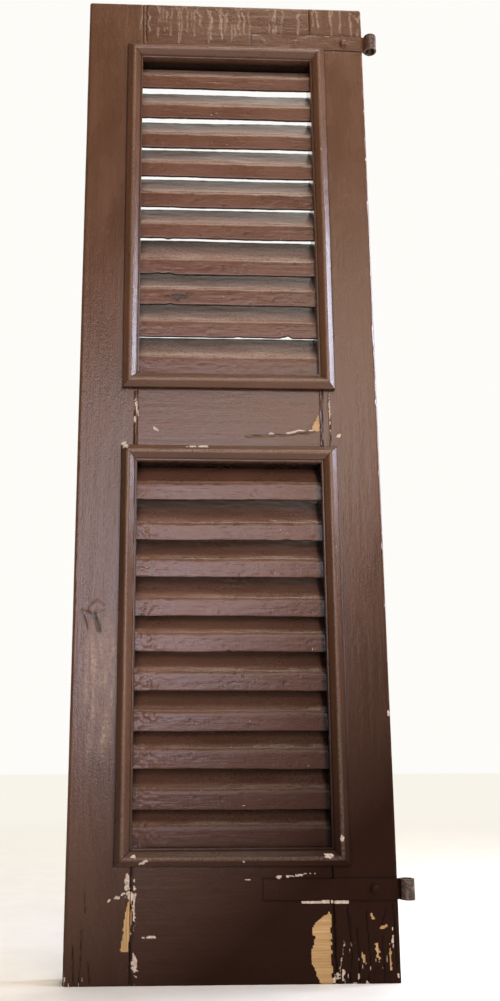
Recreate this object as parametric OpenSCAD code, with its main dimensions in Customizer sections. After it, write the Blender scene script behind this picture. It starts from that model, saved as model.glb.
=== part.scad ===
// Louvred shutter leaf: a framed leaf with two louvre windows, hung on two strap hinges.
// Millimetres. Origin: the lower hinge eye's axis at the eye's lower end. +Z runs up the hinge
// axis, the leaf lies towards -X, and its outer face looks towards -Y.

/* [Frame] */
// Overall width of the wooden leaf
leaf_w = 450; // [400:1:560]
// Overall height of the wooden leaf
leaf_h = 1500; // [1300:1:1880]
// Thickness of stiles and rails
leaf_t = 45; // [44:1:60]
// Width of each stile
stile_w = 89; // [74:1:107]
// Height of the top rail
top_rail_h = 103; // [95:1:124]
// Height of the middle rail between the windows
middle_rail_h = 138; // [115:1:166]
// Height of the bottom rail
bottom_rail_h = 173; // [155:1:208]

/* [Joints] */
// Gap left all round a tenon and at a shoulder
joint_gap = 0.15; // [0.1:0.05:0.3]
// Thickness of a tenon
tenon_t = 14; // [10:1:18]
// Length of a tenon into the stile
tenon_l = 70; // [50:1:70]
// Shoulder left above and below a tenon
tenon_shoulder = 22; // [12:1:30]

/* [Slats] */
// Number of slats in each window
slat_count = 10; // [8:1:10]
// Height of a slat's upright front nose
slat_nose_h = 22; // [18:0.5:26.5]
// Front-to-back depth of a slat
slat_depth = 40; // [33:0.5:41]
// Slope of a slat, in degrees from level
slat_slope = 50; // [42:0.5:54]
// Distance of the slat noses behind the leaf's outer face
slat_setback = 3; // [1:0.5:4]
// Length of slat let into each stile
housing_l = 10; // [6:1:14]
// Gap round a slat in its housing
housing_gap = 0.2; // [0.1:0.05:0.4]

/* [Mouldings] */
// Width of the applied moulding
mould_w = 24; // [20:0.5:27]
// Height of the moulding above the face
mould_h = 12.8; // [10:0.2:16]
// Gap behind a moulding and at its mitres
mould_gap = 0.1; // [0.05:0.05:0.2]

/* [Hinges] */
// Height of the hinge straps
strap_h = 28; // [23:0.5:33]
// Thickness of the hinge straps
strap_t = 4; // [3:0.5:5]
// Length of strap lying on the leaf
strap_l = 183; // [152:1:220]
// How far a strap stands proud of the wood
strap_proud = 1; // [0.5:0.5:1.5]
// Gap round a strap in its recess
strap_gap = 0.15; // [0.1:0.05:0.3]
// Height of the lower strap's centre above the foot of the leaf
lower_strap_z = 118.5; // [100:0.5:130]
// Outer radius of a hinge eye
eye_r = 10.5; // [9:0.1:12]
// Radius of the bore of a hinge eye
eye_bore_r = 7; // [5:0.1:7.5]
// Height of a hinge eye
eye_h = 27; // [22.5:0.5:33]
// Gap between a hinge eye and the edge of the leaf
eye_clear = 2; // [1.5:0.1:5]

/* [Fasteners] */
// Distance of the hinge bolts from the leaf's edge
bolt_inset = 32; // [22:1:38]
// Radius of a hinge bolt's shank
bolt_r = 4; // [3:0.25:5]
// Radius of a hinge bolt's domed head
bolt_head_r = 6.5; // [5.5:0.25:8]
// Height of a hinge bolt's domed head
bolt_head_h = 4.5; // [3:0.25:6]
// Radial gap round a bolt's shank
bolt_gap = 0.3; // [0.2:0.05:0.5]
// Size of a square nut across its flats
nut_af = 13; // [11:0.5:17]
// Thickness of a square nut
nut_t = 6.5; // [5:0.5:8]
// Radius of a strap screw's shank
screw_r = 2.2; // [1.8:0.1:2.8]
// Radius of a strap screw's countersunk head
screw_head_r = 4.4; // [3.6:0.1:5.2]
// Length of a strap screw
screw_l = 28; // [20:1:30]

/* [Node] */
// Which piece to draw

/* [Hidden] */
$fn = 64;

paint = "SaddleBrown";
iron = "DimGray";
eps = 1;

// The leaf's own corner is its lower left front one; these put the origin on the hinge eye.
axis_x = leaf_w + eye_clear + eye_r;
axis_y = strap_t / 2 - strap_proud;
eye_z = lower_strap_z - eye_h / 2;

// Windows: [foot, head] of each opening, and its width between the stiles.
open_w = leaf_w - 2 * stile_w;
open_h = (leaf_h - top_rail_h - middle_rail_h - bottom_rail_h) / 2;
lower_open = [bottom_rail_h, bottom_rail_h + open_h];
upper_open = [lower_open[1] + middle_rail_h, leaf_h - top_rail_h];

// Slats: rise from nose to rear, and how far each was set by hand from an even spacing.
// The top slat of a window would run into the rail, so it is planed level under it.
slat_rise = slat_depth * tan(slat_slope);
head_gap = 0.5;
foot_gap = 1;
head_drop = 1.5 * slat_nose_h + 21;
upper_drift = [4, 4, 5, 7, 8, 8, 1, 5, 6, 2];
lower_drift = [-2, -9, -9, -11, -7, -8, -9, -6, -6, 0];

// Hinges: the upper strap lies just above the upper window's moulding.
upper_strap_z = upper_open[1] + mould_w + 0.3 + strap_h / 2;
strap_back = strap_t - strap_proud;
bolt_x = leaf_w - bolt_inset;
screw_xs = [leaf_w - strap_l + 18, leaf_w - strap_l + 72];
screw_gap = 0.1;

function slat_z(span, drift, i) = let (low = span[0] + foot_gap, high = span[1] - head_drop)
    high - (high - low) * i / (slat_count - 1) + drift[i];

// Moves a piece drawn from the leaf's corner into the hinge frame.
module place() {
    translate([-axis_x, -axis_y, -eye_z]) children();
}

// A block given by its low and high corners.
module block(low, high) {
    translate(low) cube([high[0] - low[0], high[1] - low[1], high[2] - low[2]]);
}

// Draws a cross-section given in Y and Z along X, from x0 to x1.
module along_x(x0, x1) {
    translate([x0, 0, 0]) rotate([90, 0, 90]) linear_extrude(height = x1 - x0) children();
}

// Slat i's cross-section: an upright nose and a sloping body, kept below the head of its
// window. gap grows it into its housing.
module slat_section(span, drift, i, gap = 0) {
    front = slat_setback - gap;
    rear = slat_setback + slat_depth + gap;
    grow = gap / cos(slat_slope);
    lift = gap * tan(slat_slope);
    intersection() {
        translate([0, slat_z(span, drift, i)])
            polygon([[front, -grow - lift], [rear, slat_rise - grow + lift],
                [rear, slat_rise + slat_nose_h + grow + lift],
                [front, slat_nose_h + grow - lift]]);
        translate([0, span[0]]) square([leaf_t, open_h - head_gap + gap]);
    }
}

module slat(span, drift, i) {
    color(paint) place() along_x(stile_w - housing_l, leaf_w - stile_w + housing_l)
        slat_section(span, drift, i);
}

// The inclined housings of both windows, cut in a stile between x0 and x1.
module housings(x0, x1) {
    for (i = [0 : slat_count - 1]) along_x(x0, x1) {
        slat_section(upper_open, upper_drift, i, housing_gap);
        slat_section(lower_open, lower_drift, i, housing_gap);
    }
}

// One tenon's room, from the rail's shoulder outwards; gap widens it into a mortise.
module tenon(foot, head, x0, x1, gap = 0) {
    block([x0, (leaf_t - tenon_t) / 2 - gap, foot + tenon_shoulder - gap],
        [x1, (leaf_t + tenon_t) / 2 + gap, head - tenon_shoulder + gap]);
}

module mortises(x0, x1) {
    tenon(0, lower_open[0], x0, x1, joint_gap);
    tenon(lower_open[1], upper_open[0], x0, x1, joint_gap);
    tenon(upper_open[1], leaf_h, x0, x1, joint_gap);
}

// A bore of radius r from in front of the leaf to depth behind its face, at height z.
module bore(x, z, r, depth) {
    translate([x, -eps - strap_proud, z]) rotate([-90, 0, 0])
        cylinder(r = r, h = depth + strap_proud + eps);
}

// What a hinge takes out of the wood: the strap's recess, its bolt hole and its screw holes.
module hinge_room(z) {
    block([leaf_w - strap_l - strap_gap, -eps, z - strap_h / 2 - strap_gap],
        [leaf_w + eps, strap_back + strap_gap, z + strap_h / 2 + strap_gap]);
    bore(bolt_x, z, bolt_r + bolt_gap, leaf_t + eps);
    for (x = screw_xs) bore(x, z, screw_r + screw_gap, screw_l);
}

module left_stile() {
    color(paint) place() difference() {
        block([0, 0, 0], [stile_w, leaf_t, leaf_h]);
        mortises(stile_w - tenon_l - joint_gap, stile_w + eps);
        housings(stile_w - housing_l - housing_gap, stile_w + eps);
    }
}

module right_stile() {
    inner = leaf_w - stile_w;
    color(paint) place() difference() {
        block([inner, 0, 0], [leaf_w, leaf_t, leaf_h]);
        mortises(inner - eps, inner + tenon_l + joint_gap);
        housings(inner - eps, inner + housing_l + housing_gap);
        hinge_room(lower_strap_z);
        hinge_room(upper_strap_z);
    }
}

// A rail's body with a tenon at each end.
module rail(foot, head) {
    left = stile_w + joint_gap;
    right = leaf_w - stile_w - joint_gap;
    block([left, 0, foot], [right, leaf_t, head]);
    tenon(foot, head, stile_w - tenon_l, left + eps);
    tenon(foot, head, right - eps, leaf_w - stile_w + tenon_l);
}

module top_rail() {
    color(paint) place() difference() {
        rail(upper_open[1], leaf_h);
        hinge_room(upper_strap_z);
    }
}

module middle_rail() {
    color(paint) place() rail(lower_open[1], upper_open[0]);
}

module bottom_rail() {
    color(paint) place() difference() {
        rail(0, lower_open[0]);
        hinge_room(lower_strap_z);
    }
}

// Moulding section: lip, groove, rounded top and a slope down to the outer fillet.
module mould_section() {
    polygon([[0, mould_gap], [0, 0.31 * mould_h], [0.17 * mould_w, 0.31 * mould_h],
        [0.2 * mould_w, 0.23 * mould_h], [0.27 * mould_w, 0.23 * mould_h],
        [0.3 * mould_w, 0.88 * mould_h], [0.36 * mould_w, 0.97 * mould_h],
        [0.5 * mould_w, mould_h], [0.62 * mould_w, 0.98 * mould_h],
        [0.7 * mould_w, 0.88 * mould_h], [0.79 * mould_w, 0.58 * mould_h],
        [0.88 * mould_w, 0.38 * mould_h], [0.95 * mould_w, 0.3 * mould_h],
        [mould_w, 0.2 * mould_h], [mould_w, mould_gap]]);
}

// A mitred length of moulding along +X: its inner edge is length long, on the line z = 0.
module moulding(length) {
    reach = mould_w + mould_gap;
    difference() {
        translate([-reach, 0, 0]) rotate([90, 0, 90])
            linear_extrude(height = length + 2 * reach) rotate(90) mould_section();
        mitre_cut();
        translate([length, 0, 0]) mirror([1, 0, 0]) mitre_cut();
    }
}

// Takes off a moulding's end along the 45 degree line, leaving half the mitre gap.
module mitre_cut() {
    far = 2 * mould_w;
    slip = mould_gap / 2 * sqrt(2);
    translate([slip, eps, 0]) rotate([90, 0, 0]) linear_extrude(height = far)
        polygon([[0, 0], [eps, -eps], [-far, -eps], [-far, far]]);
}

module moulding_head(span) {
    color(paint) place() translate([stile_w, 0, span[1]]) moulding(open_w);
}

module moulding_foot(span) {
    color(paint) place() translate([stile_w, 0, span[0]]) mirror([0, 0, 1]) moulding(open_w);
}

module moulding_left(span) {
    color(paint) place() translate([stile_w, 0, span[0]]) rotate([0, -90, 0])
        moulding(span[1] - span[0]);
}

module moulding_right(span) {
    color(paint) place() translate([leaf_w - stile_w, 0, span[1]]) rotate([0, 90, 0])
        moulding(span[1] - span[0]);
}

// A strap and its rolled eye, forged from one bar.
module strap_hinge(z) {
    color(iron) place() difference() {
        union() {
            block([leaf_w - strap_l, -strap_proud, z - strap_h / 2],
                [leaf_w, strap_back, z + strap_h / 2]);
            block([leaf_w - eps, -strap_proud, z - eye_h / 2],
                [axis_x, strap_back, z + eye_h / 2]);
            translate([axis_x, axis_y, z - eye_h / 2]) cylinder(r = eye_r, h = eye_h);
        }
        translate([axis_x, axis_y, z - eye_h / 2 - eps])
            cylinder(r = eye_bore_r, h = eye_h + 2 * eps);
        bore(bolt_x, z, bolt_r + bolt_gap, strap_t + eps);
        for (x = screw_xs) translate([x, -strap_proud, z]) countersink(screw_gap);
    }
}

// A countersunk head and shank pointing along +Y from its face; gap widens it into its hole.
module countersink(gap = 0) {
    cone_h = screw_head_r - screw_r;
    rotate([-90, 0, 0]) {
        translate([0, 0, -gap]) cylinder(r = screw_head_r + gap, h = 0.4 + gap);
        translate([0, 0, 0.4])
            cylinder(r1 = screw_head_r + gap, r2 = screw_r + gap, h = cone_h);
        cylinder(r = screw_r + gap, h = gap > 0 ? strap_t + eps : screw_l);
    }
}

module strap_screws(z) {
    color(iron) place() for (x = screw_xs) translate([x, -strap_proud, z]) countersink();
}

// A domed bolt: head on the strap, shank through the stile to the end of its nut.
module hinge_bolt(z) {
    dome_r = (bolt_head_r * bolt_head_r + bolt_head_h * bolt_head_h) / (2 * bolt_head_h);
    color(iron) place() translate([bolt_x, -strap_proud, z]) rotate([90, 0, 0]) {
        intersection() {
            translate([0, 0, bolt_head_h - dome_r]) sphere(r = dome_r);
            translate([0, 0, mould_gap]) cylinder(r = 2 * bolt_head_r, h = bolt_head_h);
        }
        translate([0, 0, -strap_proud - leaf_t - nut_t - 2])
            cylinder(r = bolt_r, h = strap_proud + leaf_t + nut_t + 3);
    }
}

module hinge_nut(z) {
    color(iron) place() difference() {
        block([bolt_x - nut_af / 2, leaf_t + mould_gap, z - nut_af / 2],
            [bolt_x + nut_af / 2, leaf_t + nut_t, z + nut_af / 2]);
        translate([bolt_x, leaf_t - eps, z]) rotate([-90, 0, 0])
            cylinder(r = bolt_r + 0.05, h = nut_t + 2 * eps);
    }
}

left_stile();
right_stile();
top_rail();
middle_rail();
bottom_rail();
slat(upper_open, upper_drift, 0);  // upper_slat_01
slat(upper_open, upper_drift, 1);  // upper_slat_02
slat(upper_open, upper_drift, 2);  // upper_slat_03
slat(upper_open, upper_drift, 3);  // upper_slat_04
slat(upper_open, upper_drift, 4);  // upper_slat_05
slat(upper_open, upper_drift, 5);  // upper_slat_06
slat(upper_open, upper_drift, 6);  // upper_slat_07
slat(upper_open, upper_drift, 7);  // upper_slat_08
slat(upper_open, upper_drift, 8);  // upper_slat_09
slat(upper_open, upper_drift, 9);  // upper_slat_10
slat(lower_open, lower_drift, 0);  // lower_slat_01
slat(lower_open, lower_drift, 1);  // lower_slat_02
slat(lower_open, lower_drift, 2);  // lower_slat_03
slat(lower_open, lower_drift, 3);  // lower_slat_04
slat(lower_open, lower_drift, 4);  // lower_slat_05
slat(lower_open, lower_drift, 5);  // lower_slat_06
slat(lower_open, lower_drift, 6);  // lower_slat_07
slat(lower_open, lower_drift, 7);  // lower_slat_08
slat(lower_open, lower_drift, 8);  // lower_slat_09
slat(lower_open, lower_drift, 9);  // lower_slat_10
moulding_head(upper_open);  // upper_moulding_top
moulding_foot(upper_open);  // upper_moulding_bottom
moulding_left(upper_open);  // upper_moulding_left
moulding_right(upper_open);  // upper_moulding_right
moulding_head(lower_open);  // lower_moulding_top
moulding_foot(lower_open);  // lower_moulding_bottom
moulding_left(lower_open);  // lower_moulding_left
moulding_right(lower_open);  // lower_moulding_right
strap_hinge(upper_strap_z);  // upper_strap_hinge
strap_hinge(lower_strap_z);  // lower_strap_hinge
hinge_bolt(upper_strap_z);  // upper_hinge_bolt
hinge_bolt(lower_strap_z);  // lower_hinge_bolt
hinge_nut(upper_strap_z);  // upper_hinge_nut
hinge_nut(lower_strap_z);  // lower_hinge_nut
strap_screws(upper_strap_z);  // upper_strap_screws
strap_screws(lower_strap_z);  // lower_strap_screws
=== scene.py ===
# %% [markdown]
# # A louvred shutter leaf
# An old softwood shutter leaf, painted brown many times over, with two windows of fixed slats,
# mitred mouldings round them and two forged strap hinges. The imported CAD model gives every
# piece's place, and this lesson gives each one its worn, hand-brushed surface.

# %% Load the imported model
import math
import bpy
import numpy as np
from mathutils import Matrix, Vector


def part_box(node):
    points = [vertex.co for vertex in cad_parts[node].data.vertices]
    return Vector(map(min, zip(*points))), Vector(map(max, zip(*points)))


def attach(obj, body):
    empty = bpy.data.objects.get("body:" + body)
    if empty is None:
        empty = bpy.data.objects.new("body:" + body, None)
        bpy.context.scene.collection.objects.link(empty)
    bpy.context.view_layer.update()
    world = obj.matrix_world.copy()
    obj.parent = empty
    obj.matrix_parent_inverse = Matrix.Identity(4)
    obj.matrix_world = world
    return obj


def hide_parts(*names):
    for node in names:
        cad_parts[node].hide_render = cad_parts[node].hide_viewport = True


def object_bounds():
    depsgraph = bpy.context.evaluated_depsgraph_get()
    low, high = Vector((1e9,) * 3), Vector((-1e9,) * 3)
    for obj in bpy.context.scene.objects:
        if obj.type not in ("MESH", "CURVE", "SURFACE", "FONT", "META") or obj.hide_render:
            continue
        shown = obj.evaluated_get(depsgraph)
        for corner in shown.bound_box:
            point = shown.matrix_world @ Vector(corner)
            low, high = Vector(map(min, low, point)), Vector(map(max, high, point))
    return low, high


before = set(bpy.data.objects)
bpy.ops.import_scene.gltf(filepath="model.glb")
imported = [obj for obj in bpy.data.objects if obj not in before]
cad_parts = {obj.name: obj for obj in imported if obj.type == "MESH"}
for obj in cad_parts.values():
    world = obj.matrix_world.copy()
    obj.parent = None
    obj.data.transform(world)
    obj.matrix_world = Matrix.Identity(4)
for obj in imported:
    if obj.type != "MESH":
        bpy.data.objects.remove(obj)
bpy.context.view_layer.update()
print("nodes", len(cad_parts))

# %% [markdown]
# ## Where things are
# A joiner measures a leaf from its lower left front corner, in millimetres. Everything below is
# worked out in that frame, X to the right, Y to the back and Z up, and moved into the model's
# frame when each mesh is made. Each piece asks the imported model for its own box.

# %% Leaf corner and boxes in millimetres
corner = np.array(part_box("left_stile")[0]) * 1000


def box_of(node):
    """A node's low and high corners in millimetres from the leaf's corner."""
    low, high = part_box(node)
    return np.array(low) * 1000 - corner, np.array(high) * 1000 - corner


leaf_w = box_of("right_stile")[1][0]
leaf_t, leaf_h = box_of("right_stile")[1][1:]
stile_w = box_of("left_stile")[1][0]
print("leaf", leaf_w, leaf_t, leaf_h)

# %% [markdown]
# ## Camera
# The viewer stands close, a little left of the middle and low down, and looks up at the leaf,
# so its sides lean together towards the top. A camera that is turned, and not shifted, keeps
# that lean, and only a small shift frames the leaf.

# %% Camera
eye = np.array([130.0, -1349.2, 330.0])        # mm from the leaf's corner
pitch, yaw, roll = -0.2166, -0.0387, 0.0080    # radians
lens_mm, sensor_mm = 34.09031, 36.0            # the sensor's size is the frame's height
shift_across, shift_up = 0.048551448, 0.02017982    # shares of the frame's height


def turn(axis, angle):
    """Rotation matrix about one of the axes X, Y or Z."""
    return np.array(Matrix.Rotation(angle, 3, axis))


looking_level = np.array([[1, 0, 0], [0, 0, -1], [0, 1, 0]])
to_lens = turn("Z", roll) @ turn("Y", yaw) @ turn("X", pitch) @ looking_level
aim = Matrix((to_lens.T @ np.diag([1.0, -1.0, -1.0])).tolist()).to_4x4()
camera = bpy.data.objects.new("camera", bpy.data.cameras.new("camera"))
bpy.context.scene.collection.objects.link(camera)
camera.matrix_world = Matrix.Translation((eye + corner) / 1000) @ aim
camera.data.sensor_fit = "VERTICAL"
camera.data.sensor_height = sensor_mm
camera.data.lens = lens_mm
camera.data.shift_x = shift_across
camera.data.shift_y = shift_up
bpy.context.scene.camera = camera
print("lens", lens_mm, "mm, eye", eye, "mm")

# %% [markdown]
# ## Random hills
# Old paint and hand-planed wood are never flat. Value noise, random heights on a lattice
# blended smoothly, gives hills of any spacing, and stretching one axis turns the hills into
# brush marks. It is worked out for whole arrays at once, and seeded.

# %% Value noise and marks
LATTICE = 256    # points along a side of the table of random heights


def hills(x, y, seed):
    """Random heights from -1 to 1 at the whole numbers of x and y, blended by 3t^2 - 2t^3."""
    table = np.random.default_rng(seed).uniform(-1, 1, (LATTICE, LATTICE))
    ix, iy = np.floor(x).astype(int), np.floor(y).astype(int)
    tx, ty = x - ix, y - iy
    tx, ty = tx * tx * (3 - 2 * tx), ty * ty * (3 - 2 * ty)
    at = lambda i, j: table[(ix + i) % LATTICE, (iy + j) % LATTICE]
    return ((at(0, 0) * (1 - tx) + at(1, 0) * tx) * (1 - ty)
            + (at(0, 1) * (1 - tx) + at(1, 1) * tx) * ty)


def smooth(low, high, value):
    """0 below low, 1 above high and an S-shaped ramp between."""
    t = np.clip((value - low) / (high - low), 0, 1)
    return t * t * (3 - 2 * t)


def blot(x, z, mark, ragged=0.35, seed=1):
    """An oval patch (x, z, half width, half height, turn in degrees) with a ragged rim: 1
    inside and 0 outside, where the distance over the half sizes, plus noise, passes 1."""
    cx, cz, a, b, angle = mark
    c, s = math.cos(math.radians(angle)), math.sin(math.radians(angle))
    u, v = (x - cx) * c + (z - cz) * s, (z - cz) * c - (x - cx) * s
    rough = ragged * (hills(x / 3.1, z / 3.1, seed) + 0.6 * hills(x / 1.7, z / 1.7, seed + 9))
    return smooth(1.15, 0.85, np.hypot(u / a, v / b) + rough)


def patch(x, z, points, wobble=1.2, seed=3):
    """1 inside a many-sided patch, 0 outside: an even-odd count of the sides crossed by a
    level line, after the place has been shaken by noise."""
    x = x + wobble * hills(x / 5, z / 5, seed)
    z = z + wobble * hills(x / 5, z / 5, seed + 1)
    inside = np.zeros(x.shape, bool)
    for (x0, z0), (x1, z1) in zip(points, points[1:] + points[:1]):
        crosses = (z0 > z) != (z1 > z)
        inside ^= crosses & (x < x0 + (z - z0) * (x1 - x0) / (z1 - z0 + 1e-9))
    return inside.astype(float)


def line(x, z, points, width, wobble=0.8, seed=5, cell=6.0):
    """A ragged line through points: exp(-(distance/width)^2) of the nearest stretch, after the
    place has been shaken by noise whose hills are cell apart."""
    x = x + wobble * hills(x / cell, z / cell, seed)
    z = z + wobble * hills(x / cell, z / cell, seed + 1)
    near = np.full(x.shape, 1e9)
    for (x0, z0), (x1, z1) in zip(points, points[1:]):
        dx, dz = x1 - x0, z1 - z0
        t = np.clip(((x - x0) * dx + (z - z0) * dz) / (dx * dx + dz * dz), 0, 1)
        near = np.minimum(near, np.hypot(x - x0 - t * dx, z - z0 - t * dz))
    return np.exp(-(near / width) ** 2)


sample = hills(np.linspace(0, 9, 99), np.zeros(99), 1)
print("hills from", sample.min().round(2), "to", sample.max().round(2))

# %% [markdown]
# ## Old oil paint on softwood
# Linseed-oil paint brushed on by hand, coat over coat: semi-gloss, with brush marks along the
# grain, broad stains, and dust that has settled into it. Where it has flaked, pale undercoat or
# bare pine shows. One material carries all of it, with painted shade and light besides. The
# meshes hold where each kind of wear, painted shade and painted light is, as attributes, and fine
# noise breaks up their rims, so that chips keep a crisp edge.

# %% Colours and nodes
MATH, MIX, RAMP = "ShaderNodeMath", "ShaderNodeMix", "ShaderNodeValToRGB"
BLACK, WHITE = "#000000", "#ffffff"
WEAR_KINDS = ("bare", "pale", "grime_and_shade", "dust_and_light")


def colour(code):
    """A linear colour from an sRGB hex value: c/12.92, or ((c + 0.055)/1.055)^2.4."""
    part = np.array([int(code[i:i + 2], 16) for i in (1, 3, 5)]) / 255
    linear = np.where(part <= 0.04045, part / 12.92, ((part + 0.055) / 1.055) ** 2.4)
    return (*linear.tolist(), 1.0)


def add(owner, kind, inputs=None, stops=(), **settings):
    """Adds one node to a material or a world. Settings are its properties and stops a ramp's
    (place, hex colour) pairs. Inputs gives each input, by name or number, a value, a hex
    colour, an output to link, or a node whose first output is meant."""
    node = owner.node_tree.nodes.new(kind)
    for key, value in settings.items():
        setattr(node, key, value)
    for key, value in (inputs or {}).items():
        value = value.outputs[0] if isinstance(value, bpy.types.Node) else value
        if isinstance(value, bpy.types.NodeSocket):
            owner.node_tree.links.new(value, node.inputs[key])
        else:
            node.inputs[key].default_value = colour(value) if isinstance(value, str) else value
    if stops:
        while len(node.color_ramp.elements) < len(stops):
            node.color_ramp.elements.new(0.5)
        for element, (place, code) in zip(node.color_ramp.elements, stops):
            element.position, element.color = place, colour(code)
    return node


def new_material(name):
    """A node material with nothing in it."""
    material = bpy.data.materials.new(name)
    material.use_nodes = True
    material.node_tree.nodes.clear()
    return material


def grain(material, stretch, spacing_mm, detail=4.0, roughness=0.55):
    """Noise whose hills are spacing_mm apart, stretched by a factor along X, Y and Z."""
    place = add(material, "ShaderNodeTexCoord").outputs["Object"]
    scale = tuple(1000 / (spacing_mm * s) for s in stretch)
    place = add(material, "ShaderNodeMapping", {"Vector": place, "Scale": scale})
    return add(material, "ShaderNodeTexNoise", {"Vector": place, "Scale": 1.0,
                                                "Detail": detail, "Roughness": roughness})


print("mid brown is", [round(part, 3) for part in colour("#5b3e2c")[:3]], "in linear light")

# %% [markdown]
# ## The paint's layers
# The colour is built up as the leaf was, with painted shade and light among the layers: a
# stained coat, brush marks, painted shade at the foot, dust with painted light, grime with painted
# shade, and last the undercoat and the pine that chips lay bare. Each layer is mixed over the
# ones before by its own amount. The foot, and most of all its right, is painted darker as shade,
# and its specular level falls with it. Real brush marks and lumps are finer: both are drawn
# about twice as coarse as real ones, by estimate, so that they can be seen.

# %% The paint
BRUSH_MARK_MM, LUMP_MM, STAIN_MM, SPECK_MM, PINE_GRAIN_MM = 1.6, 3.5, 38.0, 2.2, 2.4
BRUSH_STRETCH, STAIN_STRETCH = 30.0, 3.0      # how much longer than wide they are
PAINT_IOR, PAINT_ROUGHNESS = 1.4, 0.27
FOOT_SHADE_LEAN = 0.85                              # metres of height per metre across
FOOT_SHADE_LOW, FOOT_SHADE_HIGH = -0.26, 0.22             # metres, darkest and unshaded, at the left edge
FOOT_SHADE_MOST = 0.95


def old_paint(name, along, coat, light_coat, deep_coat):
    """Old brushed oil paint whose brush marks run along one axis. A painted shade falls from
    FOOT_SHADE_MOST to 0 as the height, less FOOT_SHADE_LEAN times the distance across, rises."""
    material = new_material(name)
    wear = {kind: add(material, "ShaderNodeAttribute", attribute_name=kind).outputs["Fac"]
            for kind in WEAR_KINDS}
    brush = [BRUSH_STRETCH if axis == along else 1.0 for axis in "XYZ"]
    blotch = [STAIN_STRETCH if axis == along else 1.0 for axis in "XYZ"]
    streaks = grain(material, brush, BRUSH_MARK_MM)
    stains = grain(material, blotch, STAIN_MM, 3.0)
    lumps = grain(material, (1, 1, 1), LUMP_MM, 3.0)
    specks = grain(material, (1, 1, 1), SPECK_MM, 2.0, 0.7)

    place = add(material, "ShaderNodeSeparateXYZ", {
        "Vector": add(material, "ShaderNodeTexCoord").outputs["Object"]}).outputs
    across = add(material, MATH, {0: place["X"], 1: -corner[0] / 1000}, operation="ADD")
    height = add(material, MATH, {0: across, 1: -FOOT_SHADE_LEAN, 2: place["Z"]},
                 operation="MULTIPLY_ADD")
    # painted shade: the paint is drawn darker towards the foot, most at its right, and its specular level
    # falls with it
    foot_shade = add(material, "ShaderNodeMapRange", {
        "Value": height, "From Min": FOOT_SHADE_LOW, "From Max": FOOT_SHADE_HIGH, "To Min": FOOT_SHADE_MOST,
        "To Max": 0.0})

    marks = add(material, RAMP, {0: streaks}, [(0.42, BLACK), (0.62, "#7a7a7a")])
    patchy = add(material, RAMP, {0: lumps}, [(0.3, "#5a5a5a"), (0.7, WHITE)])
    # dust, and painted light on the lit slopes and the rubbed stile, share this attribute and its pale
    # colour
    dust_and_lit = add(material, MATH, {0: wear["dust_and_light"], 1: patchy}, operation="MULTIPLY")
    # dirt in cracks and painted shade in recesses share this attribute and its near-black colour
    darkened = add(material, MATH, {0: wear["grime_and_shade"], 1: 0.92}, operation="MULTIPLY")
    fine = add(material, MATH, {0: specks, 1: 0.7, 2: -0.35}, operation="MULTIPLY_ADD")
    chips = {}
    for kind, rim in (("pale", 0.56), ("bare", 0.54)):    # fine noise breaks up a chip's rim
        broken = add(material, MATH, {0: wear[kind], 1: fine}, operation="ADD")
        chips[kind] = add(material, RAMP, {0: broken}, [(0.42, BLACK), (rim, WHITE)])
    undercoat = add(material, RAMP, {0: lumps}, [(0.3, "#9e8570"), (0.65, "#cfc0ae")])
    pine = add(material, RAMP, {0: grain(material, brush, PINE_GRAIN_MM)},
               [(0.25, "#94744c"), (0.5, "#ab895c"), (0.75, "#c2a277")])
    tone = deep_coat
    for amount, over in ((stains, light_coat), (marks, coat), (foot_shade, "#22130d"),
                         (dust_and_lit, "#b09a88"), (darkened, "#120c0a"), (chips["pale"], undercoat),
                         (chips["bare"], pine)):
        tone = add(material, MIX, {0: amount, 6: tone, 7: over}, data_type="RGBA").outputs[2]

    soft = add(material, MATH, {0: lumps, 1: 0.5}, operation="MULTIPLY")
    relief = add(material, MATH, {0: streaks, 1: 0.4, 2: soft}, operation="MULTIPLY_ADD")
    normal = add(material, "ShaderNodeBump", {"Height": relief, "Strength": 0.7,
                                              "Distance": 0.0008})
    chipped = add(material, MATH, {0: chips["bare"], 1: chips["pale"]}, operation="MAXIMUM")
    dust_dull = add(material, MATH, {0: dust_and_lit, 1: 0.8}, operation="MULTIPLY")
    dull = add(material, MATH, {0: chipped, 1: dust_dull}, operation="MAXIMUM")
    uneven = add(material, MATH, {0: stains, 1: 0.22, 2: PAINT_ROUGHNESS - 0.11},
                 operation="MULTIPLY_ADD")
    rough = add(material, MATH, {0: dull, 1: 0.45, 2: uneven}, operation="MULTIPLY_ADD")
    shine = add(material, MATH, {0: foot_shade, 1: -0.5, 2: 0.5}, operation="MULTIPLY_ADD")
    shader = add(material, "ShaderNodeBsdfPrincipled", {
        "Base Color": tone, "Roughness": rough, "Normal": normal, "Specular IOR Level": shine,
        "IOR": PAINT_IOR})
    add(material, "ShaderNodeOutputMaterial", {"Surface": shader})
    return material


paint_up = old_paint("old_brushed_oil_paint_upright", "Z", "#5b3e2c", "#684733", "#48301f")
paint_level = old_paint("old_brushed_oil_paint_level", "X", "#5b3e2c", "#684733", "#472e1f")
paint_slat = old_paint("old_brushed_oil_paint_slats", "X", "#603d2c", "#6c4735", "#4a2e20")
print("paints", [paint.name for paint in (paint_up, paint_level, paint_slat)])

# %% [markdown]
# ## A closed surface from rings
# A board, a slat and a moulding are all a cross-section carried along a line. The ring of the
# section is repeated at each station, the rings are joined with four-sided faces and the two
# ends closed. One helper does this, checks by the enclosed volume that the faces look outwards,
# and stores the wear.

# %% Rings to mesh


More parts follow.
